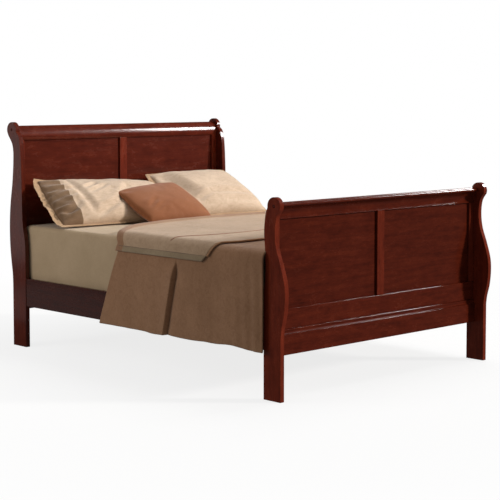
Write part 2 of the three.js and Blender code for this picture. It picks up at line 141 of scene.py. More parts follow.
def cherry(name, grain, brightness):
    """Stained cherry under gloss lacquer, with its figure along one axis."""
    shader = Shader(name)
    stretch = Vector(GRAIN_STRETCH[grain])
    random = shader.add("ShaderNodeObjectInfo").outputs["Random"]
    inputs = {0: shader.place, 1: shader.math("MULTIPLY", random, 7.0)}
    place = shader.add("ShaderNodeVectorMath", inputs, operation="ADD").outputs[0]
    figure = shader.noise(shader.scaled(stretch, place), 3.4, 8.0, 0.66, 0.5)
    spots = shader.scaled(stretch * 0.10 + Vector((0.9, 0.9, 0.9)), place)
    mottle = shader.noise(spots, 9.0, 5.0, 0.7)
    fibre = shader.noise(shader.scaled(stretch * 2.5, place), 16.0, 3.0, 0.7)
    tones = [
        (0.22, tuple(c * brightness for c in CHERRY_DARK)),
        (0.50, tuple(c * brightness for c in CHERRY_MID)),
        (0.82, tuple(c * brightness for c in CHERRY_LIGHT)),
    ]
    color = shader.mix(0.5, shader.ramp(figure, tones), shader.ramp(mottle, tones))
    streak = shader.ramp(fibre, [(0.30, (0.60, 0.50, 0.45)), (0.60, (1.0, 1.0, 1.0))])
    color = shader.mix(0.65, color, streak, "MULTIPLY")
    rough = shader.add(
        "ShaderNodeMapRange",
        {"Value": mottle, "From Min": 0.3, "From Max": 0.7, "To Min": 0.21, "To Max": 0.30},
    ).outputs["Result"]
    shader.set(
        Base_Color=color, Roughness=rough, Coat_Weight=0.40, Coat_Roughness=0.12,
        Specular_IOR_Level=0.12,
    )
    shader.bump(shader.math("ADD", fibre, mottle), 0.10, 0.0006)
    return shader.material


def pine():
    """Planed, unfinished pine."""
    shader = Shader("planed_pine")
    figure = shader.noise(shader.scaled((9.0, 9.0, 9.0)), 1.6, 5.0, 0.6, 1.5)
    color = shader.ramp(figure, [(0.3, (0.34, 0.20, 0.095)), (0.7, (0.56, 0.38, 0.20))])
    shader.set(Base_Color=color, Roughness=0.68)
    shader.bump(figure, 0.2, 0.0008)
    return shader.material


def zinc_steel():
    """Zinc plating with its fine spangle."""
    shader = Shader("zinc_plated_steel")
    spangle = shader.noise(shader.place, 160.0, 2.0)
    color = shader.ramp(spangle, [(0.3, (0.30, 0.30, 0.31)), (0.7, (0.46, 0.46, 0.45))])
    rough = shader.math("MULTIPLY", spangle, 0.7)
    shader.set(Base_Color=color, Metallic=1.0, Roughness=rough)
    shader.bump(spangle, 0.1, 0.0004)
    return shader.material


def black_plastic():
    """Moulded plastic with a fine pebbled texture."""
    shader = Shader("black_plastic")
    texture = shader.noise(shader.place, 1400.0, 2.0)
    color = shader.ramp(texture, [(0.3, (0.012, 0.012, 0.012)), (0.7, (0.022, 0.022, 0.022))])
    shader.set(Base_Color=color, Roughness=0.55)
    shader.bump(texture, 0.25, 0.0003)
    return shader.material


THREAD = 0.0011  # spacing of the threads
BAND_SCALE = 0.314  # a wave texture's scale times its spacing


def cloth(name, low, high, ribs=None, crinkle=0.0):
    """Woven cloth: colour variation between two tones, a weave, optional ribs and fine crinkles,
    whose hollows are painted darker as shade.
    """
    shader = Shader(name)
    patches = shader.noise(shader.place, 5.5, 4.0, 0.6)
    slub = shader.noise(shader.scaled((60.0, 60.0, 400.0)), 1.0, 3.0)
    color = shader.ramp(patches, [(0.32, low), (0.68, high)])
    slubs = shader.ramp(slub, [(0.3, (0.86, 0.86, 0.86)), (0.7, (1.0, 1.0, 1.0))])
    color = shader.mix(0.7, color, slubs, "MULTIPLY")
    weave = None
    for direction in ("X", "Y", "Z"):
        wave = shader.add(
            "ShaderNodeTexWave",
            {"Vector": shader.place, "Scale": BAND_SCALE / THREAD, "Distortion": 0.6},
            bands_direction=direction,
        ).outputs["Fac"]
        weave = wave if weave is None else shader.math("ADD", weave, wave)
    if ribs:
        inputs = {
            "Vector": shader.place, "Scale": BAND_SCALE / ribs, "Distortion": 1.2, "Detail": 2.0,
        }
        band = shader.add("ShaderNodeTexWave", inputs, bands_direction="X").outputs["Fac"]
        # The ribs' hollows are painted darker as shade.
        dark = shader.ramp(band, [(0.0, (0.72, 0.70, 0.68)), (0.7, (1.0, 1.0, 1.0))])
        color = shader.mix(0.6, color, dark, "MULTIPLY")
        weave = shader.math("ADD", weave, shader.math("MULTIPLY", band, 4.0))
    shader.set(
        Base_Color=color, Roughness=0.92, Sheen_Weight=0.25, Sheen_Roughness=0.45,
        Specular_IOR_Level=0.2,
    )
    relief = shader.math("ADD", weave, slub)
    if crinkle:
        folds = shader.noise(shader.scaled((16.0, 30.0, 30.0)), 1.0, 4.0, 0.62, 1.4)
        # The crinkles' hollows are painted darker as shade.
        shade = shader.ramp(folds, [(0.36, (0.80, 0.76, 0.72)), (0.55, (1.0, 1.0, 1.0))])
        shader.set(Base_Color=shader.mix(0.55, color, shade, "MULTIPLY"))
        relief = shader.math("ADD", relief, shader.math("MULTIPLY", folds, crinkle))
    shader.bump(relief, 0.35, 0.0005)
    return shader.material


# Lit and shaded copies of one cherry: each run's brightness paints in the light or shade that falls
# on it.
FINISH = {
    "wood_x": cherry("cherry_along_x", "x", 1.12),
    "wood_y": cherry("cherry_along_y", "y", 0.55),
    "foot_post": cherry("cherry_foot_post", "z", 1.95),
    "head_post": cherry("cherry_head_post", "z", 1.05),
    "stile": cherry("cherry_stile", "z", 1.6),
    "recess_painted_shade": cherry("cherry_recess_painted_shade", "z", 0.12),
    "panel": cherry("cherry_panel", "x", 1.0),
    "pine": pine(),
    "steel": zinc_steel(),
    "black_plastic": black_plastic(),
    "ticking": cloth("foundation_ticking", (0.42, 0.36, 0.27), (0.52, 0.45, 0.35)),
    "sheet": cloth("khaki_sheet", (0.46, 0.335, 0.205), (0.52, 0.38, 0.24)),
    "comforter": cloth(
        "taupe_comforter", (0.325, 0.172, 0.092), (0.378, 0.204, 0.112), crinkle=5.0
    ),
    "reverse": cloth("comforter_reverse", (0.45, 0.305, 0.195), (0.52, 0.36, 0.235), crinkle=6.0),
    "hem": cloth("comforter_hem", (0.34, 0.25, 0.155), (0.40, 0.30, 0.19), ribs=0.007),
    "peach": cloth("peach_piping", (0.50, 0.27, 0.14), (0.56, 0.31, 0.17)),
    "piping": cloth("piping_cord", (0.26, 0.095, 0.05), (0.30, 0.115, 0.062)),
    "stitch": cloth("hem_stitching", (0.15, 0.11, 0.07), (0.17, 0.125, 0.08)),
    "cream": cloth("cream_sham", (0.58, 0.435, 0.315), (0.66, 0.505, 0.372), crinkle=26.0),
    # The banded end's own darker tan, deepened further to paint the shade on the end that turns
    # away from the light.
    "umber_and_painted_shade": cloth("umber_band_and_painted_shade", (0.18, 0.108, 0.06), (0.27, 0.168, 0.098), crinkle=20.0),
    "tan": cloth("tan_flange", (0.40, 0.255, 0.145), (0.48, 0.31, 0.18)),
    "rust": cloth("rust_ribbed", (0.27, 0.098, 0.040), (0.33, 0.125, 0.054), ribs=0.008),
}


# ------------------------------------------------------------------ mesh helpers


def in_scene(name, data):
    """A new object in the scene, around its mesh, curve, light or camera data."""
    added = bpy.data.objects.new(name, data)
    bpy.context.scene.collection.objects.link(added)
    return added


def new_piece(name, mesh, *finishes):
    """A smooth-shaded object with one material slot for each finish."""
    piece = in_scene(name, mesh)
    mesh.materials.clear()
    for finish in finishes:
        mesh.materials.append(FINISH[finish])
    mesh.polygons.foreach_set("use_smooth", [True] * len(mesh.polygons))
    return piece


def place_on_bed(piece, slot, *nodes, body=BED):
    """Says what the piece rides on and which CAD nodes it replaces; slot is not used."""
    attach(piece, body)
    if nodes:
        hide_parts(*nodes)


def mesh_from(name, vertices, faces):
    mesh = bpy.data.meshes.new(name)
    mesh.from_pydata([tuple(v) for v in vertices], [], faces)
    mesh.validate()
    return mesh


def subdivide(piece):
    smooth = piece.modifiers.new("smooth", "SUBSURF")
    smooth.levels = smooth.render_levels = 1


def smoothstep(low, high, value):
    t = min(max((value - low) / (high - low), 0.0), 1.0)
    return t * t * (3 - 2 * t)


def ripple(x, y, z, seed=0.0):
    """Smooth noise from -1 to 1, the same on each run."""
    return noise.noise(Vector((x + seed, y - seed, z + 2 * seed)))


def lofted(name, rings):
    """A closed skin over rings of equal point counts, capped at both ends."""
    count = len(rings[0])
    vertices = [point for ring in rings for point in ring]
    faces = []
    for level in range(len(rings) - 1):
        for i in range(count):
            j = (i + 1) % count
            low, high = level * count, (level + 1) * count
            faces.append((low + i, low + j, high + j, high + i))
    faces.append(tuple(reversed(range(count))))
    faces.append(tuple(range((len(rings) - 1) * count, len(rings) * count)))
    return mesh_from(name, vertices, faces)


# ------------------------------------------------------------------ timber and hardware

# Radius of the rounded edges.
EDGE_ROUND = {"post": 0.0055, "rail": 0.0018, "panel": 0.0006, "base": 0.0015, "metal": 0.0004}


def finish_of(node):
    """(finish, edge round-over) for a hard piece, from its name."""
    slot = SLOT_OF[node]
    if slot == "pine":
        return "pine", EDGE_ROUND["base"]
    if slot == "steel":
        return "steel", EDGE_ROUND["metal"]
    if slot == "black_plastic":
        return "black_plastic", EDGE_ROUND["metal"]
    if "_post_" in node:
        return ("foot_post" if node.startswith("foot") else "head_post"), EDGE_ROUND["post"]
    if "stile" in node:
        return "stile", EDGE_ROUND["rail"]
    if "_panel_left" in node or "_panel_right" in node:
        return "panel", EDGE_ROUND["panel"]
    if "side_rail" in node:
        return "wood_y", EDGE_ROUND["rail"]
    return "wood_x", EDGE_ROUND["rail"]


def refine(node):
    """A hard CAD piece with its flat facets merged and its edges rounded over."""
    finish, width = finish_of(node)
    mesh = frame["nodes"][node].data.copy()
    shape = bmesh.new()
    shape.from_mesh(mesh)
    bmesh.ops.remove_doubles(shape, verts=shape.verts, dist=1e-5)
    bmesh.ops.dissolve_limit(
        shape, angle_limit=math.radians(0.5), verts=shape.verts, edges=shape.edges
    )
    shape.to_mesh(mesh)
    shape.free()
    piece = new_piece(f"{node}_finished", mesh, finish)
    bevel = piece.modifiers.new("rounded_edges", "BEVEL")
    bevel.width = width
    bevel.segments = 3
    bevel.limit_method = "ANGLE"
    bevel.angle_limit = math.radians(38)
    flatten = piece.modifiers.new("flat_faces", "WEIGHTED_NORMAL")
    flatten.weight = 50
    flatten.keep_sharp = True
    place_on_bed(piece, SLOT_OF[node], node, body=BODY_OF[node])


# Section of a scroll plug, as (radius, height over the post's face): a domed button in a recessed
# ring, whose near-black finish is painted shade, and the part inside the post.
PLUG_BUTTON = [(0.0, 0.0018), (0.0024, 0.0016), (0.0042, 0.0010), (0.0052, 0.0)]
PLUG_RING = [(0.0056, -0.0012), (0.0068, -0.0014), (0.0074, -0.0004), (0.0077, 0.0001)]
PLUG_BACK = [(0.0077, -0.0070), (0.0, -0.0070)]
PLUG_TURNS = 28


def scroll_plug(node):
    """A turned plug in the outer face of a scroll."""
    middle = sum(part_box(node), Vector()) / 2
    outward = 1 if middle.x > 0 else -1
    outer_face = outward * FOOT_HIGH.x
    profile = PLUG_BUTTON + PLUG_RING + PLUG_BACK
    vertices, faces, marks = [], [], []
    for radius, height in profile:
        for turn in range(PLUG_TURNS):
            angle = 2 * math.pi * turn / PLUG_TURNS
            y = middle.y + radius * math.cos(angle)
            z = middle.z + radius * math.sin(angle)
            vertices.append((outer_face + outward * height, y, z))
    for ring in range(len(profile) - 1):
        for turn in range(PLUG_TURNS):
            following = (turn + 1) % PLUG_TURNS
            a, b = ring * PLUG_TURNS, (ring + 1) * PLUG_TURNS
            faces.append((a + turn, b + turn, b + following, a + following))
            marks.append(1 if ring >= len(PLUG_BUTTON) - 1 else 0)
    mesh = mesh_from(f"{node}_turned", vertices, faces)
    shape = bmesh.new()
    shape.from_mesh(mesh)
    index = shape.faces.layers.int.new("finish")
    shape.faces.ensure_lookup_table()
    for face_number, mark in enumerate(marks):
        shape.faces[face_number][index] = mark
    bmesh.ops.remove_doubles(shape, verts=shape.verts, dist=1e-6)
    bmesh.ops.recalc_face_normals(shape, faces=shape.faces)
    marks = [face[index] for face in shape.faces]
    shape.to_mesh(mesh)
    shape.free()
    # The button takes the brighter stile copy of the cherry, painted lighter as its highlight; the
    # ring takes a near-black copy that paints the shade in its recess.
    piece = new_piece(f"{node}_turned", mesh, "stile", "recess_painted_shade")
    mesh.polygons.foreach_set("material_index", marks)
    place_on_bed(piece, SLOT_OF[node], node)


HARD_SLOTS = ("cherry", "cherry_panel", "pine", "steel", "black_plastic")
for hard_node in SLOT_OF:
    if "plug" in hard_node:
        scroll_plug(hard_node)
    elif SLOT_OF[hard_node] in HARD_SLOTS:
        refine(hard_node)


# ------------------------------------------------------------------ mattress and foundation


CORNER_STEPS = 8
SIDE_STEPS = (30, 24)  # along the two long sides and the two ends


def rounded_rectangle(half_x, y_range, corner):
    """Points round a rectangle with quarter-round corners, anticlockwise."""
    low, high = y_range
    centers = [
        (half_x - corner, low + corner, -90), (half_x - corner, high - corner, 0),
        (-half_x + corner, high - corner, 90), (-half_x + corner, low + corner, 180),
    ]
    points = []
    for index, (cx, cy, start) in enumerate(centers):
        for step in range(CORNER_STEPS + 1):
            angle = math.radians(start + 90 * step / CORNER_STEPS)
            points.append((cx + corner * math.cos(angle), cy + corner * math.sin(angle)))
        nx, ny, next_start = centers[(index + 1) % 4]
        angle = math.radians(next_start)
        target = (nx + corner * math.cos(angle), ny + corner * math.sin(angle))
        here = points[-1]
        run = SIDE_STEPS[index % 2]
        for step in range(1, run):
            t = step / run
            x = here[0] + (target[0] - here[0]) * t
            y = here[1] + (target[1] - here[1]) * t
            points.append((x, y))
    return points


def soft_block(name, low, high, edge, bulge, crown, grow=0.0, open_bottom=False):
    """A padded block: rounded top and bottom edges, bulging sides and a crowned top."""
    mid_y = (low.y + high.y) / 2
    half_x = (high.x - low.x) / 2 + grow
    y_range = (low.y - grow, high.y + grow)
    outline = rounded_rectangle(half_x, y_range, 0.03 + grow)
    half_y = (y_range[1] - y_range[0]) / 2
    levels = []
    turns = [math.radians(90 * step / 6) for step in range(7)]
    if not open_bottom:
        levels += [(edge * (1 - math.sin(t)), low.z + edge * (1 - math.cos(t))) for t in turns]
    else:
        levels.append((0.004, low.z))
    levels += [(0.0, low.z + edge + (high.z - low.z - 2 * edge) * k / 12) for k in range(1, 12)]
    levels += [
        (edge * (1 - math.cos(t)), high.z + grow - edge * (1 - math.sin(t))) for t in turns
    ]
    rings = []
    for inset, z in levels:
        middle = (z - low.z) / (high.z - low.z)
        out = bulge * math.sin(math.pi * min(max(middle, 0.0), 1.0))
        scale_x, scale_y = (half_x - inset + out) / half_x, (half_y - inset + out) / half_y
        ring = []
        for x, y in outline:
            px, py = x * scale_x, mid_y + (y - mid_y) * scale_y
            wobble = 0.0016 * ripple(px * 3, py * 3, z * 9, 4.0) * math.sin(math.pi * middle)
            ring.append((px * (1 + wobble), py, z))
        rings.append(ring)
    top_ring = rings[-1]
    for share in (0.97, 0.9, 0.78, 0.6, 0.4, 0.2, 0.05):
        rise = crown * (1 - share ** 4)
        rings.append([
            (x * share, mid_y + (y - mid_y) * share, top_ring[0][2] + rise) for x, y, _ in top_ring
        ])
    return lofted(name, rings)


SHEET_SKIRT = 0.008  # the fitted sheet's sides reach this far below the mattress
SHEET_START = 0.034  # they are modelled from here, then trimmed to the hem


def make_mattress():
    """The mattress and the fitted sheet stretched over it."""
    mattress = new_piece(
        "mattress_core",
        soft_block("mattress_core", MATTRESS_LOW, MATTRESS_HIGH, 0.022, 0.002, 0.004),
        "ticking",
    )
    place_on_bed(mattress, "sheet_cotton", "mattress")

    low = MATTRESS_LOW - Vector((0, 0, SHEET_START))
    mesh = soft_block("fitted_sheet", low, MATTRESS_HIGH, 0.024, 0.003, 0.005, 0.003, True)
    shape = bmesh.new()
    shape.from_mesh(mesh)
    everything = shape.verts[:] + shape.edges[:] + shape.faces[:]
    hem = (0, 0, MATTRESS_LOW.z - SHEET_SKIRT)
    bmesh.ops.bisect_plane(
        shape, geom=everything, plane_co=hem, plane_no=(0, 0, -1), clear_outer=True, dist=1e-5,
    )
    shape.to_mesh(mesh)
    shape.free()
    sheet = new_piece("fitted_sheet", mesh, "sheet")
    place_on_bed(sheet, "sheet_cotton")


def make_foundation():
    low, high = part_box("foundation")
    mesh = soft_block("foundation", low, high, 0.01, 0.0, 0.0)
    piece = new_piece("foundation_cover", mesh, "ticking")
    place_on_bed(piece, "ticking", "foundation")


make_mattress()
make_foundation()


# ------------------------------------------------------------------ comforter

DRAPE_X = 0.848  # middle of the cloth where it hangs
EDGE_RADIUS = 0.046
CLOTH = 0.0095  # thickness of the quilted cloth
FLAP_LIFT = 0.0135  # the folded-back part lies this far above the rest
FLAP_HANG = 0.043  # how far it hangs over the mattress edge
TOP_Z = MATTRESS_HIGH.z + 0.022
HEM_Z = COMFORTER_LOW.z - 0.002
FOOT_EDGE_Y = COMFORTER_LOW.y - 0.022
FOOT_FACE_Y = FOOT_LOW.y + 0.031  # outer face of the foot leg
FOLD_Y = FOOT_FACE_Y + 1.206
FOLD_BULGE = 0.216  # how much further it reaches at the middle of the bed
HEM_HEAD_Y = FOOT_FACE_Y + 1.402
PLEAT_TOP_Y = FOOT_FACE_Y + 0.735
PLEAT_HEM_Y = FOOT_FACE_Y + 0.845
PLEAT_STEP = 0.007  # the overlap's edge turns in over this distance
PLEAT_RISE = 0.017  # and stands this far out of the plain cloth
BORDER = 0.050  # width of the outer cloth that shows past the fold
BORDER_ROWS = 5
FOLD_TURN = 0.011  # how far the cloth reaches as it turns back at the fold
FOLD_PUFF = 0.012  # the fold is this much fuller than the rest
FLAP_EDGE_Y = 0.36  # the flap's free edge at the middle, from the foot legs' face
FLAP_EDGE_SWEEP = 0.17  # and how much further back it is at the sides
BAND = 0.032  # width of the stitched hem band

TOP_RUN = DRAPE_X - EDGE_RADIUS
ARC_RUN = EDGE_RADIUS * math.pi / 2
CORNER_RUN = TOP_RUN + ARC_RUN
DROP_RUN = TOP_Z - EDGE_RADIUS - HEM_Z
FULL_RUN = CORNER_RUN + DROP_RUN
FLAP_RUN = CORNER_RUN + FLAP_HANG


def section(run):
    """Point and outward normal of the cloth's middle, at a distance across from the centre line."""
    side = math.copysign(1.0, run)
    run = abs(run)
    if run <= TOP_RUN:
        crown = 0.010 * (1 - (run / TOP_RUN) ** 2)
        return Vector((side * run, 0, TOP_Z + crown)), Vector((0, 0, 1))
    if run <= CORNER_RUN:
        angle = (run - TOP_RUN) / EDGE_RADIUS
        normal = Vector((side * math.sin(angle), 0, math.cos(angle)))
        center = Vector((side * TOP_RUN, 0, TOP_Z - EDGE_RADIUS))
        return center + normal * EDGE_RADIUS, normal
    fall = run - TOP_RUN - ARC_RUN
    return Vector((side * DRAPE_X, 0, TOP_Z - EDGE_RADIUS - fall)), Vector((side, 0, 0))


def fall_of(run):
    """How far down the hanging side a point is: 0 where it leaves the top, 1 at the hem."""
    return max(0.0, (abs(run) - TOP_RUN - ARC_RUN) / DROP_RUN)


def pleat_y(run):
    """y of the pleat's edge, which leans towards the head as it falls."""
    return PLEAT_TOP_Y + (PLEAT_HEM_Y - PLEAT_TOP_Y) * fall_of(run)


def pleat_depth(run, y):
    """An inverted pleat: the head side's edge stands out and the foot side lies behind it."""
    past = y - pleat_y(run)
    fade = smoothstep(0.10, 0.30, fall_of(run))
    if past > 0:
        return PLEAT_RISE * math.exp(-past / 0.10) * fade
    if past > -PLEAT_STEP:
        return PLEAT_RISE * (1 + 2 * past / PLEAT_STEP) * fade
    return -PLEAT_RISE * math.exp((past + PLEAT_STEP) / 0.030) * fade


def hanging_folds(y, fall, side):
    """Soft folds that deepen towards the hem and close up near the foot post."""
    deepen = fall ** 1.3
    waves = 0.7 * ripple(y * 7.0, fall * 0.9, side, 2.0)
    waves += 0.6 * ripple(y * 15, fall * 1.6, side, 8.0)
    near_foot = math.exp(-(y - FOOT_EDGE_Y) / 0.16)
    pinch = near_foot * math.sin(y * 88 + fall * 1.5) * min(1.0, fall * 3)
    return 0.0065 * waves * deepen + 0.0036 * pinch


def surface_lift(run, y):
    """How far the cloth stands off its plain section."""
    side = math.copysign(1.0, run)
    fall = fall_of(run)
    puff = 0.0035 * ripple(run * 3.1, y * 3.1, 0.3, 9.0) + 0.0018 * ripple(run * 9, y * 9, 0, 3.0)
    if fall <= 0:
        return puff
    return puff + hanging_folds(y, fall, side) + pleat_depth(run, y)


def head_edge(run):
    """y of the cloth's head edge: the fold line on top, a slant where it hangs."""
    side = math.copysign(1.0, run)
    run = abs(run)
    if run <= CORNER_RUN:
        across = 1 - (run / CORNER_RUN) ** 3.3
        return FOLD_Y + FOLD_BULGE * across + 0.02 * across * ripple(side * run * 4, 0.0, 0.0, 1.0)
    return FOLD_Y + (HEM_HEAD_Y - FOLD_Y) * fall_of(run) ** 0.85


def fold_puff(run):
    """How much fuller the fold is than the rest: plump on top of the bed, flat where it hangs."""
    return FOLD_PUFF * (1 - smoothstep(TOP_RUN - 0.10, CORNER_RUN, abs(run)))


def flap_edge(run):
    """y of the folded-back part's free edge."""
    return FOOT_FACE_Y + FLAP_EDGE_Y + FLAP_EDGE_SWEEP * min(abs(run) / FLAP_RUN, 1.0) ** 6


def cloth_point(run, y, lift=0.0):
    """A point of the cloth's middle layer, or lifted off it along its normal."""
    point, normal = section(run)
    place = point + normal * (surface_lift(run, y) + lift)
    hem_wave = 0.0
    fall = fall_of(run)
    if fall > 0:
        dip = math.exp(-((y - FOOT_EDGE_Y - 0.24) / 0.10) ** 2)
        hem_wave = fall ** 3 * (0.012 * dip + 0.005 * ripple(y * 7, 0.2, 0.0, 6.0))
    return Vector((place.x, y, place.z + hem_wave))


def comforter_columns():
    """Distances across, finer where the cloth bends and hangs; the flap's edges are among them."""
    half = list(np.linspace(0, TOP_RUN, 27)[1:])
    half += list(np.linspace(TOP_RUN, CORNER_RUN, 7)[1:])
    half += list(np.linspace(CORNER_RUN, FLAP_RUN - BAND, 5)[1:])
    half += [FLAP_RUN - BAND / 2, FLAP_RUN]
    half += list(np.linspace(FLAP_RUN, FULL_RUN, 30)[1:])
    return [-run for run in reversed(half)] + [0.0] + half


def row_places(run):
    """y of each row, from the foot edge to the head edge, close together at the pleat."""
    pleat = pleat_y(run)
    stops = [FOOT_EDGE_Y, pleat - 0.09, pleat - PLEAT_STEP - 0.003, pleat + 0.002, pleat + 0.05]
    stops.append(head_edge(run))
    counts = [70, 12, 6, 6, 66]
    places = [stops[0]]
    for start, end, count in zip(stops, stops[1:], counts):
        places += [start + (end - start) * step / count for step in range(1, count + 1)]
    return places


TURN_STEPS = 6  # rows round the fold
FLAP_ROWS = 90  # rows of the folded-back part


def flap_place(run, step):
    """y and lift of the folded-back part at a row: round the fold, then back over the bed."""
    edge_y = head_edge(run)
    if step <= TURN_STEPS:
        angle = math.pi * step / TURN_STEPS
        lift = (FLAP_LIFT + fold_puff(run)) * (1 - math.cos(angle)) / 2
        return edge_y + FOLD_TURN * math.sin(angle), lift
    row = step - TURN_STEPS
    if row <= BORDER_ROWS:
        y = edge_y - BORDER * row / BORDER_ROWS
    else:
        t = (row - BORDER_ROWS) / (FLAP_ROWS - BORDER_ROWS)
        y = edge_y - BORDER + (flap_edge(run) - edge_y + BORDER) * t
    lift = FLAP_LIFT + 0.0012 * (1 + ripple(run * 6, y * 6, 1.0, 5.0))
    lift += fold_puff(run) * (1 - smoothstep(0.0, BORDER * 1.6, edge_y - y))
    return y, lift


def flap_mark(run, step):
    """Number of the finish that shows: outer cloth round the fold, then reverse or hem band."""
    if step <= TURN_STEPS + BORDER_ROWS:
        return 0
    return 2 if run > FLAP_RUN - BAND else 1


def comforter_skin():
    """The cloth's middle layer: vertices, faces and the finish of each face."""
    columns = comforter_columns()
    places = [row_places(run) for run in columns]
    rows, count = len(places[0]) - 1, len(columns)
    vertices, faces, marks = [], [], []
    for row in range(rows + 1):
        vertices += [cloth_point(run, places[c][row]) for c, run in enumerate(columns)]
    for row in range(rows):
        for c in range(count - 1):
            a = row * count + c
            faces.append((a, a + 1, a + count + 1, a + count))
            marks.append(0)
    # The folded-back part continues from the top columns of the last row.
    flap = [c for c, run in enumerate(columns) if abs(run) <= FLAP_RUN + 1e-6]
    previous = [rows * count + c for c in flap]
    for step in range(1, TURN_STEPS + FLAP_ROWS + 1):
        current = range(len(vertices), len(vertices) + len(flap))
        vertices += [cloth_point(columns[c], *flap_place(columns[c], step)) for c in flap]
        for i in range(len(flap) - 1):
            faces.append((previous[i], previous[i + 1], current[i + 1], current[i]))
            marks.append(flap_mark(abs(columns[flap[i]] + columns[flap[i + 1]]) / 2, step))
        previous = current
    return vertices, faces, marks


def make_comforter():
    """One sheet of quilted cloth over the bed, folded back at its head end, with its trims."""
    vertices, faces, marks = comforter_skin()
    mesh = mesh_from("comforter", vertices, faces)
    piece = new_piece("comforter_cloth", mesh, "comforter", "reverse", "hem")
    mesh.polygons.foreach_set("material_index", marks)
    solid = piece.modifiers.new("quilted_thickness", "SOLIDIFY")
    solid.thickness = CLOTH
    solid.offset = 0.0
    subdivide(piece)
    place_on_bed(piece, "comforter_cotton", "comforter")

    trims = [
        cord_along("comforter_fold_piping", fold_line(0.003), 0.0040, "peach"),
        cord_along("comforter_seam_piping", seam_line(), 0.0022, "piping"),
        cord_along("comforter_flap_edge", flap_edge_line(), 0.0048, "peach"),
        cord_along("comforter_band_left", band_line(-1), 0.0013, "stitch"),
        cord_along("comforter_band_right", band_line(1), 0.0013, "stitch"),
    ]
    for trim in trims:
        place_on_bed(trim, "comforter_cotton")


def cord_along(name, points, radius, finish):
    """A round cord through a list of points, as a mesh."""
    curve = bpy.data.curves.new(name, "CURVE")
    curve.dimensions = "3D"
    curve.bevel_depth = radius
    curve.bevel_resolution = 2
    curve.use_fill_caps = True
    spline = curve.splines.new("POLY")
    spline.points.add(len(points) - 1)
    for target, point in zip(spline.points, points):
        target.co = (*point, 1.0)
    carrier = in_scene(name, curve)
    drawn = carrier.evaluated_get(bpy.context.evaluated_depsgraph_get())
    mesh = bpy.data.meshes.new_from_object(drawn)
    bpy.data.objects.remove(carrier)
    return new_piece(name, mesh, finish)


def flap_top(run, y):
    """A point on the upper face of the folded-back part."""
    return cloth_point(run, y, FLAP_LIFT + 0.001 + CLOTH / 2)


def fold_line(out):
    """Along the outside of the fold, this far out of it."""
    points = []
    for run in np.linspace(-FLAP_RUN, FLAP_RUN, 121):
        lift = (FLAP_LIFT + fold_puff(run)) / 2
        points.append(cloth_point(run, head_edge(run) + FOLD_TURN + out, lift))
    return points


def seam_line():
    """The piped seam across the folded-back part."""
    runs = np.linspace(-TOP_RUN - ARC_RUN * 0.5, TOP_RUN + ARC_RUN * 0.5, 121)
    return [flap_top(r, FOOT_FACE_Y + 0.64 + 0.20 * (abs(r) / FLAP_RUN) ** 3) for r in runs]


def flap_edge_line():
    """Along the folded-back part's free edge, across the bed."""
    runs = np.linspace(-FLAP_RUN + BAND, FLAP_RUN - BAND, 140)
    return [cloth_point(r, flap_edge(r) - 0.007, FLAP_LIFT + 0.001) for r in runs]


def band_line(side):
    """Row of stitches at the upper edge of the hem band on one hanging side."""
    run = side * (FLAP_RUN - BAND)
    return [flap_top(run, y) for y in np.linspace(flap_edge(run) + 0.01, head_edge(run) - 0.01, 90)]


make_comforter()


# ------------------------------------------------------------------ pillows

CASE_CELL = 0.013  # size of a mesh cell
CASE_GAP = 0.010  # between the two layers before filling
FRAMES = 24  # length of the cloth simulation
SLUMP = 0.20  # how much fuller the lower edge is
RUMPLE = 0.0045  # height of the filling's unevenness
GATHER = 0.058  # from one gather of the banded end to the next
GATHER_DEPTH = 0.0105
REST_Z = MATTRESS_HIGH.z + 0.010  # the sheet's top, which the pillows rest on
FLANGE_TUCK = 0.008  # the flat border starts this far inside the seam
FLANGE_HALF = 0.0016  # half its thickness
FLANGE_STEPS = 6


class Case:
    """A flat pillow case: two layers that share their rim. u and v run from -1 to 1."""

    def __init__(self, width, height):
        self.width, self.height = width, height
        self.across, self.along = round(width / CASE_CELL), round(height / CASE_CELL)
        self.index, self.vertices, self.faces = {}, [], []
        for layer in (0, 1):
            for i in range(self.across + 1):
                for j in range(self.along + 1):
                    self.add_vertex(i, j, layer)
        for layer in (0, 1):
            for i in range(self.across):
                for j in range(self.along):
                    self.add_face(i, j, layer)

    def key(self, i, j, layer):
        rim = i in (0, self.across) or j in (0, self.along)
        return (i, j) if rim else (i, j, layer)

    def add_vertex(self, i, j, layer):
        key = self.key(i, j, layer)
        if key in self.index:
            return
        self.index[key] = len(self.vertices)
        x = self.width * (i / self.across - 0.5)
        y = self.height * (j / self.along - 0.5)
        z = 0.0 if len(key) == 2 else CASE_GAP * (layer - 0.5)
        self.vertices.append((x, y, z))

    def add_face(self, i, j, layer):
        corners = [(i, j), (i + 1, j), (i + 1, j + 1), (i, j + 1)]
        face = [self.index[self.key(*corner, layer)] for corner in corners]
        self.faces.append(face if layer else face[::-1])

    def rim(self):
        """Vertex numbers round the seam, anticlockwise from the bottom left corner."""
        loop = [(i, 0) for i in range(self.across)]
        loop += [(self.across, j) for j in range(self.along)]
        loop += [(i, self.along) for i in range(self.across, 0, -1)]
        loop += [(0, j) for j in range(self.along, 0, -1)]
        return [self.index[key] for key in loop]

    def uv(self):
        flat = np.array(self.vertices)
        return flat[:, 0] * 2 / self.width, flat[:, 1] * 2 / self.height


STUFFING = {
    "quality": 6, "mass": 0.25, "use_pressure": True, "uniform_pressure_force": 5.0,
    "tension_stiffness": 22, "compression_stiffness": 10, "shear_stiffness": 5,
    "bending_stiffness": 0.25, "tension_damping": 10, "compression_damping": 10,
}


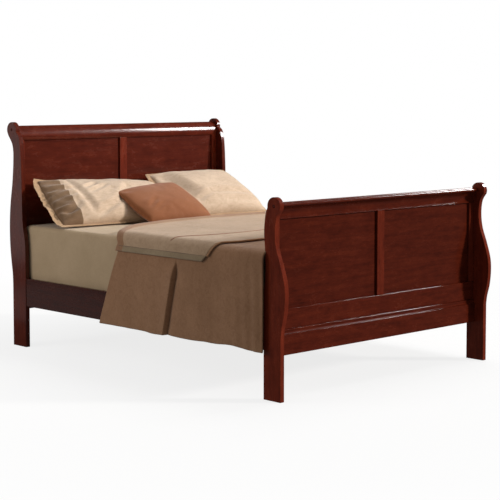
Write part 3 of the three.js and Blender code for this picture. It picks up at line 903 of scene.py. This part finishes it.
def inflate(piece):
    """Fills the case by cloth simulation and keeps the shape it takes."""
    scene = bpy.context.scene
    modifier = piece.modifiers.new("stuffing", "CLOTH")
    for key, value in STUFFING.items():
        setattr(modifier.settings, key, value)
    modifier.settings.effector_weights.gravity = 0
    modifier.point_cache.frame_start = 1
    modifier.point_cache.frame_end = FRAMES
    for number in range(1, FRAMES + 1):
        scene.frame_set(number)
    settled = piece.evaluated_get(bpy.context.evaluated_depsgraph_get())
    shape = np.empty(len(settled.data.vertices) * 3)
    settled.data.vertices.foreach_get("co", shape)
    piece.modifiers.remove(modifier)
    scene.frame_set(1)
    return shape.reshape(-1, 3)


def puffed(case):
    """The case filled by formula: 1 deep each way at its middle, and steep at the seam."""
    shape = np.array(case.vertices)
    u, v = case.uv()
    swell = np.clip((1 - u ** 2) * (1 - v ** 2), 0, 1) ** 0.4
    shape[:, 2] = np.sign(shape[:, 2]) * swell
    return shape


def creased(shape, case, creases):
    """Presses soft creases into the front: (start uv, end uv, depth, half width) of each."""
    u, v = case.uv()
    x, y = u * case.width / 2, v * case.height / 2
    front = shape[:, 2] > 0
    drop = np.zeros(len(shape))
    for (u0, v0), (u1, v1), depth, half_width in creases:
        start = np.array([u0 * case.width / 2, v0 * case.height / 2])
        end = np.array([u1 * case.width / 2, v1 * case.height / 2])
        run = end - start
        along = ((x - start[0]) * run[0] + (y - start[1]) * run[1]) / run.dot(run)
        held = np.clip(along, 0, 1)
        away = np.hypot(x - start[0] - held * run[0], y - start[1] - held * run[1])
        taper = np.clip(1 - (2 * held - 1) ** 4 * 0.8, 0, 1)
        near = away / half_width
        drop += depth * taper * (np.exp(-near ** 2) - 0.45 * np.exp(-((near - 1.9) / 0.8) ** 2))
    shape[:, 2] -= np.where(front, drop, 0)
    return shape


def rumpled(shape, case, seed):
    """Broad unevenness of the filling and fine puckers that run in from the seam."""
    u, v = case.uv()
    side = np.sign(shape[:, 2])
    for number, (a, b) in enumerate(zip(u * case.width / 2, v * case.height / 2)):
        edge = 1 - max(abs(u[number]), abs(v[number]))
        seam = math.exp(-edge * 7)
        horizontal_edge = abs(v[number]) > abs(u[number])
        along = a if horizontal_edge else b
        broad = ripple(a * 5, b * 5, side[number], seed) * 0.9
        broad += ripple(a * 13, b * 13, 0, seed) * 0.4
        broad += 0.30 * ripple(a * 26 + b * 9, b * 38 - a * 6, side[number], seed + 3)
        pucker = ripple(along * 34, edge * 3, side[number], seed) * seam * 0.9
        shape[number, 2] += RUMPLE * (broad * (1 - seam) + pucker) * side[number]
    return shape


def flange(shape, case, widths, waves, seed):
    """A flat border outside the seam, as rows of points, innermost row first.

    widths and waves give its width and the height of its waves on the left and elsewhere.
    """
    rim = shape[case.rim()]
    rim[:, 2] *= 0.3
    count = len(rim)
    ahead, behind = np.roll(rim, -6, axis=0), np.roll(rim, 6, axis=0)
    tangent = (ahead - behind)[:, :2]
    outward = np.stack([tangent[:, 1], -tangent[:, 0]], axis=1)
    outward /= np.linalg.norm(outward, axis=1)[:, None]
    left = np.clip(-outward[:, 0], 0, 1) ** 2
    rows = []
    for step in range(FLANGE_STEPS + 1):
        share = step / FLANGE_STEPS
        row = []
        for number in range(count):
            width = widths[1] + (widths[0] - widths[1]) * left[number]
            wave = waves[1] + (waves[0] - waves[1]) * left[number]
            reach = -FLANGE_TUCK + (width + FLANGE_TUCK) * share
            x, y, z = rim[number]
            gather = ripple(x * 16, y * 16, share * 0.8, seed)
            gather += 0.6 * ripple(x * 38, y * 38, share * 1.4, seed + 5)
            lift = wave * gather * share ** 0.7
            reach += 0.12 * width * ripple(x * 22, y * 22, 0.0, seed + 9) * share
            row.append((x + outward[number, 0] * reach, y + outward[number, 1] * reach, z + lift))
        rows.append(row)
    return rows


def flange_faces(first, rows, count):
    """Faces of the border's closed skin, for vertices laid out as front rows, then back rows."""
    faces = []
    layer = rows * count

    def quad(number, near, far):
        """Between two (side, row) places, from one vertex of the rim to the next."""
        ends = [first + side * layer + row * count for side, row in (near, near, far, far)]
        steps = [number, (number + 1) % count, (number + 1) % count, number]
        return [end + step for end, step in zip(ends, steps)]

    for number in range(count):
        for row in range(rows - 1):
            faces.append(quad(number, (0, row), (0, row + 1))[::-1])
            faces.append(quad(number, (1, row), (1, row + 1)))
        faces.append(quad(number, (0, 0), (1, 0))[::-1])
        faces.append(quad(number, (0, rows - 1), (1, rows - 1)))
    return faces


def stuffed_shape(name, case, thickness):
    """The filled case at its true size, fuller towards its lower edge."""
    mesh = mesh_from(f"{name}_case", case.vertices, case.faces)
    trial = new_piece(f"{name}_case", mesh, "cream")
    shape = inflate(trial)
    bpy.data.objects.remove(trial)
    span = shape.max(0) - shape.min(0)
    shape = shape * (np.array([case.width, case.height, thickness]) / span)
    # Stuffed tight, it keeps its cut outline and stands up steeply from the seam.
    full = puffed(case)
    u, v = case.uv()
    shape[:, 0] = 0.12 * shape[:, 0] + 0.88 * full[:, 0] + 0.016 * u * (1 - v ** 2)
    shape[:, 1] = 0.12 * shape[:, 1] + 0.88 * full[:, 1] + 0.016 * v * (1 - u ** 2)
    shape[:, 2] = 0.35 * shape[:, 2] + 0.65 * full[:, 2] * thickness / 2
    shape[:, 2] *= 1 - SLUMP * v
    return shape


def gathered(shape, case, band):
    """Close gathers that run in from the seam of the banded end and die out at its inner edge."""
    u, v = case.uv()
    for number, (a, b) in enumerate(zip(u, v)):
        inward = (1 + a) * case.width / 2
        if inward < band * 1.25:
            fade = 1 - smoothstep(0.55 * band, 1.25 * band, inward)
            wander = 1.3 * ripple(inward * 9, b * 2.2, 0.0, 4.0)
            phase = b * case.height / 2 * 2 * math.pi / GATHER + wander * 2.2 + inward * 14
            height = GATHER_DEPTH * math.sin(phase) * fade * (1 - b ** 4)
            shape[number, 2] += height * np.sign(shape[number, 2])
    return shape


def make_pillow(node, name, corners, thickness, finishes, creases, border=None, band=0.0, seed=1.0):
    """A leaning pillow that replaces a CAD node.

    corners are where the seam's bottom left, bottom right, top left and top right corners lie.
    finishes are those of the face, the flat border and the banded end; border is its widths and
    waves, as in flange().
    """
    low_left, low_right, top_left, top_right = [Vector(corner) for corner in corners]
    width = ((low_right - low_left).length + (top_right - top_left).length) / 2
    height = ((top_left - low_left).length + (top_right - low_right).length) / 2
    case = Case(width, height)
    shape = stuffed_shape(name, case, thickness)
    shape = rumpled(creased(shape, case, creases), case, seed)
    if band:
        shape = gathered(shape, case, band)
    faces = list(case.faces)
    band_edge = -width / 2 + band
    middles = [np.mean([case.vertices[i][0] for i in face]) for face in faces]
    marks = [2 if middle < band_edge else 0 for middle in middles]
    facing = (low_right - low_left).cross(top_left - low_left).normalized()

    def settled(local):
        across, up = local[0] / width + 0.5, local[1] / height + 0.5
        low = low_left + (low_right - low_left) * across
        top = top_left + (top_right - top_left) * across
        place = low + (top - low) * up + facing * local[2]
        if place.z < REST_Z:
            place.z = REST_Z + (place.z - REST_Z) * 0.05
        return place

    vertices = [settled(point) for point in shape]
    if border:
        rows = flange(shape, case, *border, seed)
        count = len(rows[0])
        first = len(vertices)
        for side in (1, -1):
            for row in rows:
                for x, y, z in row:
                    place = settled((x, y, z))
                    place.z = max(place.z, REST_Z + 0.003)
                    vertices.append(place + facing * side * FLANGE_HALF)
        faces += flange_faces(first, len(rows), count)
        marks += [1] * (len(faces) - len(marks))
    mesh = mesh_from(name, vertices, faces)
    piece = new_piece(name, mesh, *finishes)
    mesh.polygons.foreach_set("material_index", marks)
    subdivide(piece)
    place_on_bed(piece, SLOT_OF[node], node)


# Creases in the fronts, as creased() takes them.
LEFT_CREASES = [
    # On the face, beside the banded end.
    ((-0.44, 0.16), (-0.18, 0.46), 0.014, 0.014),
    ((-0.42, -0.06), (-0.08, 0.24), 0.012, 0.013),
    # Gathers of the banded end.
    ((-0.96, 0.62), (-0.62, 0.50), 0.014, 0.016),
    ((-0.97, 0.34), (-0.58, 0.22), 0.016, 0.018),
    ((-0.96, 0.02), (-0.60, -0.04), 0.013, 0.015),
    ((-0.95, -0.30), (-0.56, -0.28), 0.015, 0.017),
    ((-0.90, -0.70), (-0.62, -0.38), 0.018, 0.018),
    ((-0.58, 0.86), (-0.50, -0.80), 0.012, 0.020),
    # The fold that the lower edge makes on the bed.
    ((-0.48, -0.86), (-0.08, -0.48), 0.016, 0.019),
    ((-0.08, -0.48), (0.24, 0.18), 0.014, 0.020),
    ((0.10, -0.78), (0.70, -0.60), 0.009, 0.016),
    # Where the accent pillow presses into it.
    ((0.20, -0.70), (0.62, -0.05), 0.034, 0.095),
]
RIGHT_CREASES = [
    ((-0.84, 0.80), (-0.60, -0.60), 0.020, 0.045),
    ((-0.62, -0.62), (-0.20, -0.42), 0.012, 0.016),
    ((-0.20, -0.42), (0.82, -0.46), 0.011, 0.017),
    ((0.10, -0.74), (0.88, -0.72), 0.008, 0.014),
]
ACCENT_CREASES = [
    ((-0.72, -0.40), (-0.38, -0.06), 0.007, 0.013),
    ((-0.66, -0.60), (-0.34, -0.34), 0.006, 0.012),
    ((-0.58, -0.78), (-0.36, -0.58), 0.005, 0.011),
    ((-0.93, 0.86), (-0.70, 0.66), 0.006, 0.014),
]

# Corners of each seam: the two bottom ones, then the two top ones.
LEFT_CORNERS = [
    (-0.775, 0.690, 0.745), (0.130, 0.585, 0.745),
    (-0.715, 1.035, 0.985), (0.150, 1.005, 0.945),
]
RIGHT_CORNERS = [
    (0.140, 0.640, 0.748), (0.782, 0.600, 0.748),
    (0.150, 1.030, 0.985), (0.772, 0.998, 0.992),
]
ACCENT_CORNERS = [
    (-0.275, 0.490, 0.748), (0.215, 0.490, 0.748),
    (-0.340, 0.742, 0.920), (0.125, 0.762, 0.955),
]


def make_pillows():
    make_pillow(
        "pillow_left", "pillow_left_sham", LEFT_CORNERS, 0.205, ("cream", "tan", "umber_and_painted_shade"),
        LEFT_CREASES, border=((0.036, 0.010), (0.013, 0.003)), band=0.135, seed=2.0,
    )
    make_pillow(
        "pillow_right", "pillow_right_sham", RIGHT_CORNERS, 0.205, ("cream", "tan"),
        RIGHT_CREASES, border=((0.030, 0.009), (0.008, 0.0025)), seed=7.0,
    )
    make_pillow(
        "accent_pillow", "accent_pillow_cover", ACCENT_CORNERS, 0.135, ("rust",),
        ACCENT_CREASES, seed=11.0,
    )


make_pillows()


# ------------------------------------------------------------------ stage, light and camera

FLOOR_SIZE = 300  # large enough for its far edge to pass for the horizon
FADE_FROM, FADE_TO = 1.0, 4.0  # the floor turns to plain white between these distances
FADE_START = 0.80  # and is already this far gone under the bed


def make_stage():
    """A pale floor that fades into the white backdrop away from the bed."""
    bpy.ops.mesh.primitive_plane_add(size=FLOOR_SIZE, location=(0, 0, 0))
    floor = bpy.context.object
    floor.name = "studio_floor"
    shader = Shader("studio_floor")
    shader.set(Base_Color=(0.93, 0.93, 0.93, 1.0), Roughness=0.9)
    distance = shader.add("ShaderNodeVectorMath", {0: shader.place}, operation="LENGTH")
    inputs = {
        "Value": distance.outputs["Value"],
        "From Min": FADE_FROM, "From Max": FADE_TO, "To Min": FADE_START,
    }
    fade = shader.add("ShaderNodeMapRange", inputs).outputs["Result"]
    white = shader.add("ShaderNodeEmission", {"Color": (1.0, 1.0, 1.0, 1.0)})
    mixed = shader.add("ShaderNodeMixShader", {0: fade})
    shader.links.new(shader.surface.outputs[0], mixed.inputs[1])
    shader.links.new(white.outputs[0], mixed.inputs[2])
    shader.links.new(mixed.outputs[0], shader.nodes["Material Output"].inputs["Surface"])
    floor.data.materials.append(shader.material)
    floor.visible_glossy = False
    floor.visible_diffuse = False


def area_light(name, location, target, size, power, color=(1.0, 1.0, 1.0)):
    """A soft rectangular light that the camera doesn't see."""
    data = bpy.data.lights.new(name, "AREA")
    data.shape = "RECTANGLE"
    data.size, data.size_y = size
    data.energy = power
    data.color = color
    light = in_scene(name, data)
    light.location = location
    light.visible_camera = False
    aim = Vector(target) - Vector(location)
    light.rotation_euler = aim.to_track_quat("-Z", "Y").to_euler()
    return light


WORLD_GLOW = 0.20  # strength of the light that comes from all round
WORLD_MIRRORED = 0.06  # and how bright it looks in the lacquer


def make_world():
    """Plain white behind the bed, and a dimmer white for the light that it gives."""
    world = bpy.data.worlds.new("studio")
    bpy.context.scene.world = world
    world.use_nodes = True
    nodes, links = world.node_tree.nodes, world.node_tree.links
    backdrop, glow = nodes["Background"], nodes.new("ShaderNodeBackground")
    backdrop.inputs["Color"].default_value = (1.0, 1.0, 1.0, 1.0)
    glow.inputs["Color"].default_value = (1.0, 0.99, 0.97, 1.0)
    path = nodes.new("ShaderNodeLightPath").outputs
    strength = nodes.new("ShaderNodeMapRange")
    strength.inputs["To Min"].default_value = WORLD_GLOW
    strength.inputs["To Max"].default_value = WORLD_MIRRORED
    choice = nodes.new("ShaderNodeMixShader")
    links.new(path["Is Glossy Ray"], strength.inputs["Value"])
    links.new(strength.outputs["Result"], glow.inputs["Strength"])
    links.new(path["Is Camera Ray"], choice.inputs[0])
    links.new(glow.outputs[0], choice.inputs[1])
    links.new(backdrop.outputs[0], choice.inputs[2])
    links.new(choice.outputs[0], nodes["World Output"].inputs["Surface"])


def make_key():
    """The key light: from the right of the footboard, low enough to rake the panels."""
    data = bpy.data.lights.new("key", "SUN")
    data.energy = 3.1
    data.angle = math.radians(7.0)
    data.color = (1.0, 0.96, 0.91)
    light = in_scene("key", data)
    light.visible_glossy = False
    plan, height = math.radians(45), math.radians(19)
    level = math.cos(height)
    towards = Vector((math.sin(plan) * level, -math.cos(plan) * level, math.sin(height)))
    light.rotation_euler = towards.to_track_quat("Z", "Y").to_euler()


# White panels that only show as highlights in the lacquer: name, place, target, size, power.
MIRRORED_PANELS = [
    ("right_panel", (3.25, -1.6, 2.75), (0.4, 1.1, 1.3), (0.8, 1.2), 190),
    ("floor_panel", (-1.95, 2.0, 0.01), (-1.95, 2.001, 1.0), (1.2, 2.4), 2.3),
]
WARM_WHITE = (1.0, 0.97, 0.94)


def make_light():
    make_world()
    make_key()
    overhead = area_light("overhead", (1.6, -0.4, 4.2), (0, 0, 0.6), (2.4, 2.4), 112)
    overhead.visible_glossy = False
    left = area_light(
        "left_fill", (-3.6, 1.6, 1.8), (-0.8, 0.0, 0.5), (2.0, 2.0), 44, WARM_WHITE
    )
    left.visible_glossy = False
    for name, place, target, size, power in MIRRORED_PANELS:
        panel = area_light(name, place, target, size, power)
        panel.visible_diffuse = False
    area_light("rear_panel", (-3.4, 4.5, 0.7), (-0.8, 1.0, 0.5), (1.3, 1.4), 4)


# Metres and radians; the camera stands off the near corner of the foot.
CAMERA = {
    "x": -5.8066, "y": FOOT_FACE_Y - 4.9855, "z": 1.5397,
    "pan": 0.76395, "tilt": -0.06969, "lens": 104.8, "shift_y": -0.12,
}


def make_camera():
    data = bpy.data.cameras.new("camera")
    data.lens = CAMERA["lens"]
    data.sensor_width = 36.0
    data.shift_y = CAMERA["shift_y"]
    data.clip_end = 100.0
    camera = in_scene("camera", data)
    camera.location = (CAMERA["x"], CAMERA["y"], CAMERA["z"])
    camera.rotation_euler = (math.pi / 2 + CAMERA["tilt"], 0.0, -CAMERA["pan"])
    bpy.context.scene.camera = camera


make_stage()
make_light()
make_camera()
bpy.context.scene.view_settings.view_transform = "Standard"
